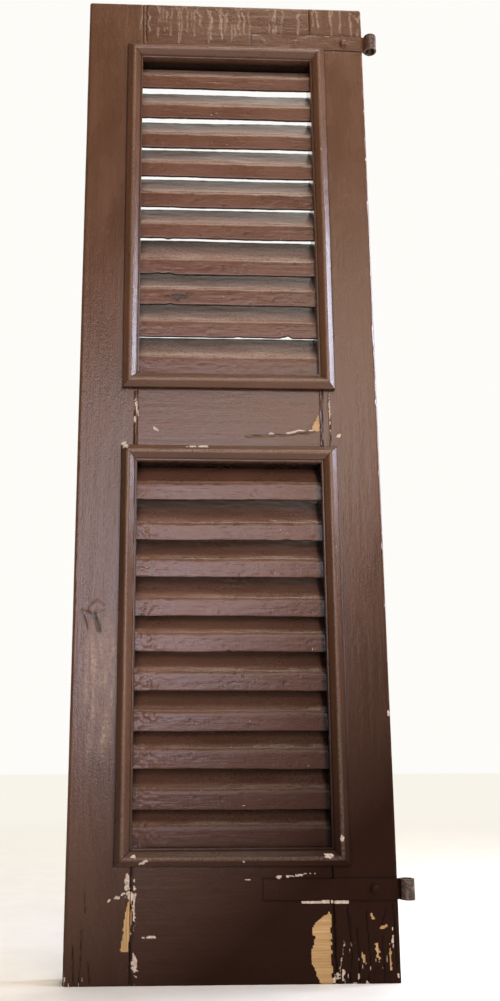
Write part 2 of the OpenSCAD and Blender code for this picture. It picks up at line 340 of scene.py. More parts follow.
def hand_over(mesh, name, material, nodes, sharp):
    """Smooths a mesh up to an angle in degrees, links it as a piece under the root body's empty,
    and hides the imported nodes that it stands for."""
    mesh.polygons.foreach_set("use_smooth", np.ones(len(mesh.polygons), bool))
    mesh.set_sharp_from_angle(angle=math.radians(sharp))
    mesh.materials.append(material)
    mesh.update()
    piece = bpy.data.objects.new(name, mesh)
    bpy.context.scene.collection.objects.link(piece)
    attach(piece, "root")
    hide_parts(*nodes)
    return piece


def to_mesh(name, grids, wears, material, nodes):
    """Joins grids of points (stations x ring x 3, mm) into one closed mesh in metres; wears
    holds, for each grid, a value for each point of each kind of wear."""
    points, faces, start = [], [], 0
    marks = {kind: [] for kind in WEAR_KINDS}
    for grid, wear in zip(grids, wears):
        n, m = grid.shape[:2]
        index = np.arange(n * m).reshape(n, m) + start
        right = np.roll(index, -1, axis=1)
        quads = np.stack([index[:-1], right[:-1], right[1:], index[1:]], -1).reshape(-1, 4)
        a, b, c, d = (grid.reshape(-1, 3)[quads[:, i] - start] for i in range(4))
        middle = grid.reshape(-1, 3).mean(0)
        volume = (np.einsum("ij,ij->i", a - middle, np.cross(b - middle, c - middle))
                  + np.einsum("ij,ij->i", a - middle, np.cross(c - middle, d - middle))).sum()
        ends = [index[0][::-1], index[-1]]
        if volume < 0:
            quads, ends = quads[:, ::-1], [end[::-1] for end in ends]
        faces += quads.tolist() + [end.tolist() for end in ends]
        points.append(grid.reshape(-1, 3))
        for kind, values in marks.items():
            values.append(np.broadcast_to(wear.get(kind, 0.0), (n, m)).reshape(-1))
        start += n * m
    mesh = bpy.data.meshes.new(name)
    mesh.from_pydata(((np.concatenate(points) + corner) / 1000).tolist(), [], faces)
    for kind, values in marks.items():
        layer = mesh.attributes.new(kind, "FLOAT", "POINT")
        layer.data.foreach_set("value", np.concatenate(values).astype(np.float32))
    return hand_over(mesh, name, material, nodes, 50)


print("wear kept on each point:", *WEAR_KINDS)

# %% [markdown]
# ## Stiles and rails
# Each is a planed board with its sharp edges worn round. The face that shows is divided finely
# enough for flaked paint, cracks and knots to be real dents, and the sides and back are divided
# coarsely, since nothing but the plank's own waviness is on them.

# %% Board rings


def steps(low, high, size):
    """Evenly spaced values from low to high, about size apart."""
    return np.linspace(low, high, max(2, int(round((high - low) / size)) + 1))


def rounded_ring(width, depth, ease, fine, coarse):
    """A board's section as points (u across, v deep) and outward normals: straight sides with
    quarter-round corners of radius ease, the front divided finely and the rest coarsely."""
    u, v, nu, nv = [], [], [], []
    corners = [(width - ease, ease, -90), (width - ease, depth - ease, 0),
               (ease, depth - ease, 90), (ease, ease, 180)]
    front = steps(ease, width - ease, fine)[1:-1]
    down = steps(ease, depth - ease, coarse)[1:-1]
    back = np.linspace(width - ease, ease, max(3, int(width / coarse)))[1:-1]
    sides = [(front, 0 * front, 0, -1), (width + 0 * down, down, 1, 0),
             (back, depth + 0 * back, 0, 1), (0 * down, down[::-1], -1, 0)]
    for (su, sv, snu, snv), (cu, cv, start) in zip(sides, corners):
        angle = np.radians(start + np.array([0, 30, 60, 90]))
        u += [*su, *(cu + ease * np.cos(angle))]
        v += [*sv, *(cv + ease * np.sin(angle))]
        nu += [*(su * 0 + snu), *np.cos(angle)]
        nv += [*(su * 0 + snv), *np.sin(angle)]
    return np.array(u), np.array(v), np.array(nu), np.array(nv)


EASE = {"Z": 3.8, "X": 1.0}        # radius of the worn arrises of stiles and of rails, mm
DRAW = {"Z": 1.2, "X": 0.5}        # radius of the rounding at their ends, mm
FACE_STEP, SIDE_STEP = 1.5, 9.0    # mm between the points of the section
RAIL_LAP = 0.5                     # mm that a rail reaches into each stile, so no gap shows


def board(name, along, low, high, marks, seed, station):
    """A board from low to high whose length lies along X or Z. The section is drawn in at its
    ends by a quarter round, and every point is moved along its normal by the wear."""
    ease, draw = EASE[along], DRAW[along]
    across = "X" if along == "Z" else "Z"
    lo, hi = dict(zip("XYZ", low)), dict(zip("XYZ", high))
    width = hi[across] - lo[across]
    u, v, nu, nv = rounded_ring(width, hi["Y"] - lo["Y"], ease, FACE_STEP, SIDE_STEP)
    if along == "Z":    # the arris beside the windows and rails stays sharp: spread it out
        at_right = lo[across] > 1
        inner = (u < ease) if at_right else (u > width - ease)
        centre = ease if at_right else width - ease
        square, reach = inner & (v < ease), np.maximum(np.abs(nu), np.abs(nv))
        u = np.where(square, centre + (u - centre) / reach, u)
        v = np.where(square, ease + (v - ease) / reach, v)
    s = steps(lo[along] + draw, hi[along] - draw, station)
    curl = np.radians([90, 60, 30])
    s = np.concatenate([lo[along] + draw * (1 - np.sin(curl)), s,
                        hi[along] - draw * (1 - np.sin(curl[::-1]))])
    pull = np.zeros(len(s))
    pull[:3], pull[-3:] = draw * (1 - np.cos(curl)), draw * (1 - np.cos(curl[::-1]))
    across_at = lo[across] + u[None] - nu[None] * pull[:, None]
    deep_at = lo["Y"] + v[None] - nv[None] * pull[:, None]
    along_at = np.broadcast_to(s[:, None], across_at.shape)
    x, z = (across_at, along_at) if along == "Z" else (along_at, across_at)
    front = np.clip(-nv, 0, 1)[None] * np.ones_like(x)
    wear = marks(x, z)
    push = -wear.pop("depth") * (front > 0.2)
    push = push + 0.16 * hills(across_at / 34 + 7, along_at / 260, seed)
    push = push + 0.10 * hills(across_at / 5 + deep_at / 5, along_at / 70, seed + 1)
    push = push + 0.05 * hills(across_at / 3.5, along_at / 7 + deep_at / 7, seed + 2)
    arris = (np.abs(nu * nv) > 0.2)[None] * smooth(0.2, 0.8, hills(
        along_at / 11 + 50 * (nu[None] > 0), deep_at * 0, seed + 3))
    push = push - 0.9 * arris - 0.25
    wear = {key: value * front for key, value in wear.items()}
    # painted shade: inside the windows the wood is drawn black a few millimetres in from the face
    inside = np.abs(nu)[None] * (hi["Y"] - 2 > lo["Y"] + v[None]) * smooth(0.5, 4, v)[None]
    facing = {"left_stile": nu > 0.5, "right_stile": nu < -0.5, "top_rail": nu < -0.5,
              "middle_rail": np.abs(nu) > 0.5, "bottom_rail": nu > 0.5}[name]
    wear["grime_and_shade"] = np.maximum(wear["grime_and_shade"], 0.93 * inside * facing[None])
    grid = np.stack([across_at + nu * push, deep_at + nv * push, along_at], -1)
    if along == "X":
        grid = grid[..., [2, 1, 0]]
    return grid, wear


def frame_board(name, along, material, seed, station=2.0):
    """Makes the board of a node: its box without the tenons, which lie inside the stiles."""
    low, high = box_of(name)
    if along == "X":
        low[0], high[0] = stile_w - RAIL_LAP, leaf_w - stile_w + RAIL_LAP
    grid, wear = board(name, along, low, high, frame_marks, seed, station)
    piece = to_mesh(name + "_wood", [grid], [wear], material, [name])
    print(piece.name, len(piece.data.vertices), "points")


print("arrises worn to", EASE["Z"], "mm on stiles and", EASE["X"], "mm on rails")

# %% [markdown]
# ## Where the frame is worn
# Chips, splits, a knot and old drips are where weather and use left them, so their places are
# listed, in millimetres from the leaf's corner. One function of place gives all of them,
# so that a mark can cross from a stile to a rail.

# %% Where the frame is worn
SEAMED_RECTS = []    # outlines of the mouldings and straps, round which shade is painted
for window in ("upper", "lower"):
    low, high = box_of(window + "_moulding_left")[0], box_of(window + "_moulding_right")[1]
    SEAMED_RECTS.append(((low[0], low[2]), (high[0], high[2])))
    low, high = box_of(window + "_strap_hinge")
    SEAMED_RECTS.append(((low[0], low[2]), (high[0], high[2])))


def frame_marks(x, z):
    """Wear of the whole frame's face at places given from the leaf's corner: bare pine, pale undercoat,
    grime in cracks, painted shade round the mouldings and straps, dust with a painted sheen on the rubbed
    zone, and how deep each lies."""
    bare = patch(x, z, [(354.5, 88), (344, 83), (333, 71), (332, 61), (337, 58), (330, 43),
                        (329, 30), (334, 18), (339, 5), (342, -3), (357, -3), (357, 90)])
    bare = np.maximum(bare, patch(x, z, [(360.5, 793), (349, 770.5), (355, 766), (361, 766)], 0.8))
    bare = np.maximum(bare, patch(x, z, [(89, 105), (84, 104), (81, 85), (79, 66), (76, 50),
                                         (77, 43), (86, 43), (89, 60)], 1.0, 13))
    for mark in [(419, 39, 2.2, 10, 8), (399.5, 32, 1.6, 7, 12), (430, 71, 5, 1.8, 20),
                 (436, 30, 1.2, 17, 0), (413, 84, 2, 4, 30)]:
        bare = np.maximum(bare, blot(x, z, mark, 0.6, 21))
    pale = np.zeros_like(x)
    for mark in [(84, 128, 2.6, 15, 4), (88, 112, 3.4, 8, 15), (67, 109, 11, 1.6, 20),
                 (93, 100, 1.8, 20, 0), (95, 24, 3.0, 13, 6), (115, 60, 9, 1.3, 2),
                 (390, 757, 2.6, 5, 25), (87, 800, 1.7, 12, 8), (85, 778, 2.2, 8, 0),
                 (68, 742, 3, 4, 40), (116, 766, 5, 1.6, -30), (245, 132, 5, 0.9, 0),
                 (306, 136, 22, 1.4, 6), (362, 8, 2.5, 8, -30), (371, 10, 1.5, 7, -10),
                 (440, 55, 1.2, 12, 0), (447, 352, 1.6, 8, 0), (377, 800, 0.9, 26, 0)]:
        pale = np.maximum(pale, blot(x, z, mark, 0.75, 31))
    for x0, x1 in ((318, 355), (358, 382)):    # putty squeezed out under the lower strap
        pale = np.maximum(pale, patch(x, z, [(x0, 100.8), (x1, 100.8), (x1, 104.6), (x0, 104.6)],
                                      0.5, 36))
    chips = line(x, z, [(236, 759), (304, 761), (331, 766), (352, 768)], 1.3, 1.2)
    pale = np.maximum(pale, chips * smooth(-0.25, 0.35, hills(x / 9, z / 9, 41) + (x - 300) / 90))
    # long splits: a dark groove with lifted paint beside it
    splits = [([(250, 757), (304, 759), (352, 764)], 0.9), ([(362, 0), (361, 150)], 1.0),
              ([(93.5, 1430), (94, 1500)], 0.7), ([(83.5, 716), (84, 854)], 0.9),
              ([(89.6, 0), (89.2, 150)], 1.3), ([(364, 716), (366, 854)], 0.8),
              ([(377, 716), (376, 826)], 0.7), ([(31, 490), (34, 481), (38, 466)], 2.6),
              ([(28, 90), (25, 118)], 0.7),
              ([(380, 98), (384, 40), (381, 4)], 0.9), ([(405, 90), (409, 30), (404, 0)], 0.8),
              ([(425, 60), (428, 12), (426, 0)], 0.9), ([(392, 70), (394, 0)], 0.7),
              ([(442, 100), (444, 20)], 0.9), ([(433, 95), (425, 72)], 0.7),
              ([(12, 50), (15, 0)], 0.9), ([(33, 30), (36, 0)], 0.7), ([(24, 70), (22, 0)], 0.6)]
    crack = np.zeros_like(x)
    for which, (points, width) in enumerate(splits):
        crack = np.maximum(crack, line(x, z, points, width, 1.0, 60 + which))
    for points, width in [([(13, 494), (16, 484), (21, 470)], 1.2),
                          ([(15, 495), (31, 489), (46, 495)], 1.4),
                          ([(24, 506), (34, 510), (45, 504)], 1.0)]:
        crack = np.maximum(crack, 0.65 * line(x, z, points, width, 1.6, 77, 9.0))
    # crackled drips near the head: narrow wandering ridges
    drips = np.zeros_like(x)
    rng = np.random.default_rng(8)
    for cx in np.sort(rng.uniform(78, 447, 46)):
        top, foot = leaf_h - rng.uniform(0, 14), leaf_h - rng.uniform(34, 72)
        bend = rng.uniform(-5, 5)
        path = [(cx + bend, top), (cx, top - 9), (cx + bend / 3, (top + foot) / 2), (cx, foot)]
        drips = np.maximum(drips, rng.uniform(0.5, 1) * line(x, z, path, 1.15, 2.4, 90, 11))
    drips = drips * smooth(-0.9, -0.1, hills(x / 14, z / 10, 95))
    # painted shade in the corner round each moulding and strap
    seam_shade = np.zeros_like(x)
    for (x0, z0), (x1, z1) in SEAMED_RECTS:
        off = np.maximum(np.abs(x - (x0 + x1) / 2) - (x1 - x0) / 2,
                         np.abs(z - (z0 + z1) / 2) - (z1 - z0) / 2)
        seam_shade = np.maximum(seam_shade, np.exp(-(off / 1.6) ** 2))
    flakes = smooth(0.35, 0.62, hills(x / 3.2, z / 7, 51) + 0.5 * hills(x / 30, z / 40, 52))
    ring = np.hypot((x - 34) / 15, (z - 496) / 18) + 0.3 * hills(x / 8, z / 8, 57)
    knot = smooth(1.3, 0.5, ring)
    swirl = knot * (0.5 + 0.5 * np.cos(7 * ring))
    # the rubbed zone on the left stile: worn paint, drawn lighter too as a painted sheen
    rubbed = np.hypot((x - 42) / 26, (z - 400) / 95) + 0.25 * hills(x / 9, z / 40, 53)
    worn = smooth(1.5, 0.4, rubbed)
    worn = worn * (0.55 + 0.45 * hills(x / 3.2, z / 22, 54))
    foot = smooth(120, 0, z) * smooth(355, 400, x)
    rough = np.clip(worn + foot, 0, 1) * flakes
    # at the feet of the stiles the paint has come off in fine upright flecks
    feet = smooth(110, 15, z) * smooth(352, 375, x) + smooth(45, 5, z) * smooth(60, 20, x)
    feet = feet + 0.8 * smooth(14, 4, np.abs(x - 88)) * smooth(150, 110, z)
    flecks = smooth(0.38, 0.66, hills(x / 2.2, z / 10, 58) + 0.35 * hills(x / 20, z / 25, 59))
    pale = np.maximum(pale, 0.66 * np.clip(feet, 0, 1) * flecks)
    return {"bare": bare, "pale": np.maximum(pale, 0.22 * drips),
            "grime_and_shade": np.clip(crack + 0.25 * foot * flakes + 0.4 * swirl + 0.75 * seam_shade, 0, 1),
            "dust_and_light": np.clip(0.8 * drips + 0.15 * rough * (z > 200) + 0.9 * worn
                            + 0.3 * knot * (1 - swirl), 0, 1),
            "depth": 0.5 * bare + 0.35 * (pale > 0.5) + 1.1 * crack - 0.3 * drips
            + 0.2 * rough - 0.2 * worn + 0.5 * swirl - 0.5 * knot + 0.3 * seam_shade}


frame_board("left_stile", "Z", paint_up, 11)
frame_board("right_stile", "Z", paint_up, 21)
frame_board("top_rail", "X", paint_level, 31, station=1.4)    # finer, for its drips
frame_board("middle_rail", "X", paint_level, 41)
frame_board("bottom_rail", "X", paint_level, 51)

# %% [markdown]
# ## Slats
# Each slat is a thin board planed by hand: an upright nose in front and a slope rising to the
# back, so rain runs off and light gets in. The noses bow a little and their edges are nicked.
# Dust has settled on the slopes, and the upper window's slopes are painted lighter still, as lit.
# Shade is painted at the back of each slope, at the foot of each nose and at the slats' ends.

# %% Slats
slat_nose, slat_lean = 22.0, math.tan(math.radians(50))
NOTCHES = {  # slat: (x, half width, height of a notch in the lower edge), mm
    "upper_slat_09": [(317, 4.5, 4.0), (309, 3.0, 1.5), (240, 5, 1.2)],
    "upper_slat_07": [(116, 9, 1.8), (134, 6, 2.6)], "upper_slat_08": [(136, 4.0, 1.4)],
    "upper_slat_06": [(132, 5.0, -1.6)], "lower_slat_02": [(308, 6.0, 1.4)],
    "upper_slat_01": [(180, 40, 0.8)], "lower_slat_05": [(222, 2.5, 2.2)]}
REAR_LIFT = {  # how much higher than planned the rear edge of a crooked slat is, mm
    f"upper_slat_{i + 1:02d}": lift
    for i, lift in enumerate([1.8, 1.8, 1.8, 2.2, 1.6, 1.6, 8.0, 2.0, 2.5, 3.0])}
LOWER_LIFT = 1.6    # the same for every slat of the lower window
SLAT_LAP = 0.8      # mm that a slat reaches into each stile


def slat_ring(depth, rear_lift):
    """A slat's section from the nose's foot round to its underside: an upright face, a worn
    bullnose (a parabola between the face and the slope), the slope, the upright rear face, and
    an underside that is blunt where the plane left it. Gives depth, rise and the part's name."""
    t = np.linspace(0, 1, 8)[1:-1]
    turn_from, corner_at, turn_to = (0, 20.5), (0.3, 27.0), (4.5, 30.4)
    bull = [(1 - t) ** 2 * a + 2 * t * (1 - t) * b + t * t * c
            for a, b, c in zip(turn_from, corner_at, turn_to)]
    rear = slat_nose + slat_lean * depth + rear_lift
    slope = steps(turn_to[0], depth, 2.6)
    rise = turn_to[1] + (rear - turn_to[1]) * (slope - turn_to[0]) / (depth - turn_to[0])
    down = steps(1.5, slat_nose - 1.5, 5)[::-1]
    under = np.linspace(depth - 1.0, 5.4, 9)
    face = steps(1.2, turn_from[1], 1.4)
    parts = [(0 * face, face, "face"), (*bull, "bull"), (slope, rise, "slope"),
             (0 * down + depth, rear - slat_nose + down, "rear"),
             (under, (under - 3.4) * slat_lean, "under"),
             (np.array([4.2, 2.4, 0.9, 0.2]), np.array([0.2, 0, 0.1, 0.6]), "foot")]
    kind = np.concatenate([np.full(len(p[0]), p[2]) for p in parts])
    return np.concatenate([p[0] for p in parts]), np.concatenate([p[1] for p in parts]), kind


def slat(node, seed):
    """A slat's section ring carried along X; noise bows the whole slat, ripples its edges and
    dents its face, and the top slat of a window is cut level under the rail."""
    low, high = box_of(node)
    upper, last = node.startswith("upper"), node.endswith("10")
    depth, rise, kind = slat_ring(high[1] - low[1], REAR_LIFT.get(node, LOWER_LIFT))
    x = steps(stile_w - SLAT_LAP, leaf_w - stile_w + SLAT_LAP, 2.2)
    X = np.broadcast_to(x[:, None], (len(x), len(depth)))
    along = lambda spacing, layer: hills(X / spacing, X * 0, seed + layer)
    of = lambda *names: np.isin(kind, names)[None] * np.ones_like(X)
    front = of("face", "bull", "foot")
    low_edge = smooth(7, 0, rise)[None] * of("face", "foot", "under")
    build_up = smooth(60, 8, X - stile_w)    # thick paint where the brush started, at the left
    lumps = ((0.15 if upper else 0.7) * build_up * hills(X / 5, rise / 4, seed + 13) * front
             + 0.13 * hills(X / 9, rise / 5 + depth / 6, seed)
             + 0.12 * hills(X / 26, rise / 2.5, seed + 10)
             + 0.35 * hills(X / 70, depth / 30, seed + 1))
    wave = 0.5 * along(90, 2) + 0.35 * along(17, 3) + 0.5 * np.clip(along(5, 4) - 0.3, 0, 1)
    for cx, half, tall in NOTCHES.get(node, []):
        wave = wave + tall * np.exp(-((X - cx) / half) ** 2)
    wave = wave - (2.6 if last else 0.5)
    arris = of("bull") * (0.5 * along(30, 5) - 0.5 * np.clip(along(4, 6) - 0.5, 0, 1))
    bow = 0.6 * along(150, 11)
    dents = smooth(0.6, 0.85, hills(X / 7, rise / 4, seed + 7)) * front
    Y = low[1] + depth + 0.35 - lumps * (2 * front - 1) + 0.35 * dents
    Z = low[2] + rise + wave * low_edge + arris + bow - lumps * of("slope")
    Z = np.minimum(Z, high[2] + 0.4) if low[2] + rise.max() > high[2] + 9 else Z
    from_end = np.minimum(X - stile_w, leaf_w - stile_w - X)
    deep_shade = smooth(8, 34, depth)[None] * of("slope")
    # painted shade where the slats meet the stiles
    grime_and_shade = 0.45 * smooth(12, 0, from_end) * (of("slope") + 0.6 * front)
    if not upper:    # painted shade: each lower slat's right end is drawn black, where the stile's reveal is shaded
        grime_and_shade = grime_and_shade + 0.95 * smooth(6.5, 4.5, leaf_w - stile_w - X)
    # painted shade deep in each slot: the back of the slope, the foot of the nose and, more in the lower
    # window, the slope's far part
    grime_and_shade = grime_and_shade + 0.7 * smooth(35, 38, depth)[None] * of("slope")
    grime_and_shade = grime_and_shade + 0.8 * smooth(1.2, 0, rise)[None] * front + (0.15 if upper else 0.4) * deep_shade
    settled_and_lit = 0.9 * of("slope") + 0.8 * of("bull") * smooth(20, 29, rise)[None]
    settled_and_lit = settled_and_lit * (1 if upper else 0.12)    # painted light: the upper window's slopes are drawn lighter as lit, and the lower ones, in shade, get little
    wear = {"dust_and_light": np.clip(settled_and_lit * (0.7 + 0.3 * hills(X / 40, depth / 9, seed + 12)), 0, 1),
            "grime_and_shade": np.clip(grime_and_shade + 0.5 * smooth(0.7, 1, dents), 0, 1),
            "pale": 0.55 * smooth(0.82, 0.97, hills(X / 3, Z / 2.5, seed + 9)) * front}
    if node == "upper_slat_08":
        knot = blot(X, Z, (150, low[2] + 13, 15, 5, 6), 0.6, 3) * front
        wear["grime_and_shade"] = np.maximum(wear["grime_and_shade"], 0.75 * knot)
    return to_mesh(node + "_wood", [np.stack([X, Y, Z], -1)], [wear], paint_slat, [node])


for window in ("upper", "lower"):
    for i in range(10):
        slat(f"{window}_slat_{i + 1:02d}", 200 + 20 * i + (300 if window == "upper" else 0))
print("slats", 20, "each", slat_nose, "mm at the nose")

# %% [markdown]
# ## Mouldings
# A planed bead nailed round each window and mitred at its corners, thick with paint. The
# section is carried from mitre to mitre: at each end the points further from the window reach
# further, so that the ends lie at 45 degrees.

# %% Mouldings
PROFILE = np.array([  # across and up, as shares of the width and of how proud it stands
    (0, 0), (0, 0.16), (0, 0.30), (0.02, 0.345), (0.07, 0.36), (0.115, 0.355),
    (0.13, 0.40), (0.15, 0.47), (0.20, 0.56), (0.27, 0.68), (0.34, 0.79),
    (0.40, 0.88), (0.44, 0.94), (0.48, 0.975), (0.53, 0.995), (0.58, 0.99),
    (0.63, 0.965), (0.68, 0.91), (0.74, 0.82), (0.80, 0.73), (0.86, 0.64),
    (0.92, 0.55), (0.965, 0.48), (0.99, 0.42), (1, 0.34), (1, 0.2), (1, 0.1),
    (1, 0)])


def moulding(node, side, seed):
    """The profile carried along one side of a window. Across is measured outwards from the
    opening's edge, and the ends lean by the same amount."""
    low, high = box_of(node)
    width = min(high[0] - low[0], high[2] - low[2])
    proud = -low[1]
    axis = 0 if side in ("top", "bottom") else 2
    inner = low[axis] + width, high[axis] - width
    out = PROFILE[:, 0] * width
    up = PROFILE[:, 1] * proud
    t = steps(0, 1, 2.2 / (inner[1] - inner[0]))[:, None]
    along = (inner[0] - out + 0.25) + t * (inner[1] - inner[0] + 2 * out - 0.5)
    wobble = (0.25 * hills(along / 120, out[None] * 0, seed)
              + 0.12 * hills(along / 9, up / 4 + out / 4, seed + 1))
    thin = smooth(0.25, 0.5, up / proud)[None]
    raised = -up[None] - wobble * thin - 0.12
    spread = out[None] + 0.18 * hills(along / 40, up[None] * 0 + 3, seed + 2) * (out > 1)[None]
    base = {"top": low[2], "bottom": high[2], "left": high[0], "right": low[0]}[side]
    sign = 1 if side in ("top", "right") else -1
    cross = base + sign * spread
    x, z = (along, cross) if axis == 0 else (cross, along)
    chip = np.zeros_like(along)
    for mark in MOULD_CHIPS:
        chip = np.maximum(chip, blot(x, z, mark, 0.7, 71))
    flecks = (smooth(0.66, 0.8, hills(along / 4, out[None] / 3, seed + 3))
              * smooth(0.1, 0.6, hills(along / 60, out[None] * 0, seed + 4)))
    edge = smooth(0.9, 1.0, PROFILE[:, 1])[None]
    # painted shade in the creases: in the small groove behind the inner lip and where the moulding meets
    # the frame
    crease_shade = (np.exp(-((PROFILE[:, 0] - 0.10) / 0.045) ** 2)[None]
              + np.exp(-((PROFILE[:, 0] - 1.0) / 0.02) ** 2)[None])
    raised = raised + 0.5 * (chip > 0.5) * thin
    shaded = 0.4 if node == "lower_moulding_left" else 0.0    # painted shade on its outer slope, which faces away from the light
    shade = shaded * smooth(0.62, 0.8, PROFILE[:, 0])[None]
    wear = {"pale": np.maximum(chip, 0.55 * flecks * edge),
            "grime_and_shade": np.clip(0.8 * crease_shade + shade, 0, 1) * np.ones_like(along),
            "dust_and_light": 0.22 * edge * np.ones_like(along)}
    grid = np.stack([x + 0 * raised, raised, z + 0 * raised], -1)
    material = paint_level if axis == 0 else paint_up
    return to_mesh(node + "_wood", [grid], [wear], material, [node])


MOULD_CHIPS = [(170, 737.5, 13, 1.4, 2), (188, 738, 8, 1.8, 0), (228, 744, 2.5, 1.2, 0),
               (372, 746, 10, 1.6, 0), (91, 163, 3, 3.5, 30), (106, 156, 4.5, 1.6, 20),
               (239, 155.5, 3.2, 1.6, 0), (357, 162, 8, 2.6, 5), (374, 186, 2, 4, 0),
               (376, 745, 5, 4, 30), (72, 739, 4, 4, 30)]
for window in ("upper", "lower"):
    for which, side in enumerate(["top", "bottom", "left", "right"]):
        seed = 700 + 20 * which + (90 if window == "upper" else 0)
        moulding(f"{window}_moulding_{side}", side, seed)
print("mouldings", 8, "with", len(PROFILE), "points round each section")

# %% [markdown]
# ## Hinges
# A smith forged each hinge from one flat bar: the strap is let into the wood and painted over
# with it, and its end is rolled round a pin into an eye. The eye's paint has rubbed off.

# %% Iron


def painted_iron(name, worn):
    """Forged iron under thin old paint; worn says how much of the dark, pitted iron shows."""
    material = new_material(name)
    patches = grain(material, (1, 1, 1), 9.0, 4.0)
    pits = grain(material, (1, 1, 1), 2.0, 3.0)
    shows = add(material, RAMP, {0: patches}, [(0.72 - worn, BLACK), (0.85 - worn, WHITE)])
    coat = add(material, RAMP, {0: pits}, [(0.35, "#4a3127"), (0.65, "#664639")])
    iron = add(material, RAMP, {0: pits}, [(0.3, "#2c2722"), (0.6, "#4a443b"), (0.8, "#6a645a")])
    tone = add(material, MIX, {0: shows, 6: coat, 7: iron}, data_type="RGBA").outputs[2]
    normal = add(material, "ShaderNodeBump", {"Height": pits, "Strength": 0.6,
                                              "Distance": 0.0006})
    rough = add(material, MATH, {0: patches, 1: 0.25, 2: 0.28}, operation="MULTIPLY_ADD")
    metal = add(material, MATH, {0: shows, 1: 0.75}, operation="MULTIPLY")
    shader = add(material, "ShaderNodeBsdfPrincipled", {
        "Base Color": tone, "Roughness": rough, "Metallic": metal, "Normal": normal})
    add(material, "ShaderNodeOutputMaterial", {"Surface": shader})
    return material


iron_nut = painted_iron("forged_iron_painted_over", 0.08)
iron_eye = painted_iron("forged_iron_rubbed", 0.3)
print("irons", iron_nut.name, iron_eye.name)

# %% [markdown]
# ## Straps and eyes
# The bar's section is carried along a path, as the smith bent it: straight on the leaf, a swing
# to the back, and a roll round the pin. The faces that lie on the eye get the rubbed iron.

# %% Straps and eyes
STRAP_THICK, SWING = 3.5, 16.0    # mm: the bar, and how far along it swings to the back


def strap(node, seed):
    """The bar's section carried along a path: straight on the leaf, then a swing to the back
    and a roll of about 340 degrees round the pin."""
    low, high = box_of(node)
    eye_r = (high[1] - low[1]) / 2
    centre_x, centre_y = high[0] - eye_r, (high[1] + low[1]) / 2
    mean_r = eye_r - STRAP_THICK / 2
    tall = high[2] - low[2]
    flat = steps(low[0], centre_x - SWING, 2.5)
    swing = np.linspace(0, 1, 13)[1:-1]
    curve_x = centre_x - SWING + SWING * swing
    curve_y = centre_y + mean_r * swing * swing * (3 - 2 * swing)
    roll_at = np.radians(np.linspace(90, -238, 60))
    path = np.concatenate([
        np.stack([flat, 0 * flat + centre_y], 1), np.stack([curve_x, curve_y], 1),
        np.stack([centre_x + mean_r * np.cos(roll_at), centre_y + mean_r * np.sin(roll_at)], 1)])
    ahead = np.gradient(path, axis=0)
    ahead /= np.linalg.norm(ahead, axis=1, keepdims=True)
    side = np.stack([ahead[:, 1], -ahead[:, 0]], 1)
    u, v, nu, nv = rounded_ring(tall, STRAP_THICK, 0.7, 2.2, 2.2)
    s = np.cumsum(np.r_[0, np.linalg.norm(np.diff(path, axis=0), axis=1)])
    S, U = s[:, None], u[None]
    rough = 0.22 * hills(S / 14, U / 9, seed) + 0.1 * hills(S / 4, U / 4, seed + 1) - 0.3
    edge = 0.5 * hills(S / 30, U * 0 + (nu > 0), seed + 2) * (np.abs(nu) > 0.5)[None]
    taper = 1 - 0.12 * smooth(30, 0, S)
    drawn_in = np.sign(nu) * 0.3 * (np.abs(nu) > 0.5)
    across = (U - tall / 2 + nu * rough + edge * 0.6 - drawn_in) * taper
    off = STRAP_THICK / 2 - v[None] - nv * rough
    x = path[:, :1] + side[:, :1] * off
    y = path[:, 1:] + side[:, 1:] * off
    z = (high[2] + low[2]) / 2 + across
    x[:1] += 0.3    # the bar's end stays inside its recess
    piece = to_mesh(node + "_iron", [np.stack([x, y, z], -1)], [{}], paint_level, [node])
    piece.data.materials.append(iron_eye)
    middle = np.zeros((len(piece.data.polygons), 3))
    piece.data.polygons.foreach_get("center", middle.reshape(-1))
    on_eye = middle[:, 0] * 1000 - corner[0] > centre_x - eye_r + 1.5
    piece.data.polygons.foreach_set("material_index", on_eye.astype(np.int32))
    return piece


print("bar", STRAP_THICK, "mm thick")

# %% [markdown]
# ## Bolts, nuts and screws
# Turned and forged fasteners: a profile of radius and depth turned about an axis gives a bolt
# or a screw. A square nut has no such profile, so its radius depends on the angle as well, and
# its grid is joined to itself both ways, like a ring. Each hinge is then made whole.

# %% Bolts, nuts and screws
STRAP_FACE = -1.0    # mm: the strap stands this far before the leaf's face
SHANK_R = 4.0


def lathe(cx, cz, profile, around=40, lumpy=0.0, seed=0):
    """A profile of (radius, depth) turned about an axis along Y, closed by its two ends."""
    a = np.linspace(0, 2 * np.pi, around, endpoint=False)[None]
    r, d = profile[:, :1], profile[:, 1:]
    r = r * (1 + lumpy * hills(a * 2 + 0 * r, d / 2 + 0 * a, seed))
    return np.stack([cx + r * np.cos(a), d + 0 * a, cz + r * np.sin(a)], -1)


def bolt(node, seed):
    """A domed head hammered slightly out of round, on a shank that ends past its nut."""
    low, high = box_of(node)
    cx, cz = (low[0] + high[0]) / 2, (low[2] + high[2]) / 2
    t = np.radians(np.linspace(4, 90, 12))
    height, head_r = STRAP_FACE - low[1], (high[0] - low[0]) / 2
    dome = np.stack([head_r * np.sin(t), STRAP_FACE - height * np.cos(t)], 1)
    rest = np.array([(head_r - 0.3, -0.95), (SHANK_R, -0.9), (SHANK_R, 20),
                     (SHANK_R, high[1] - 0.8), (SHANK_R - 0.7, high[1] - 0.1)])
    grid = lathe(cx, cz, np.concatenate([dome, rest]), 40, 0.05, seed)
    return to_mesh(node + "_iron", [grid], [{}], paint_level, [node])


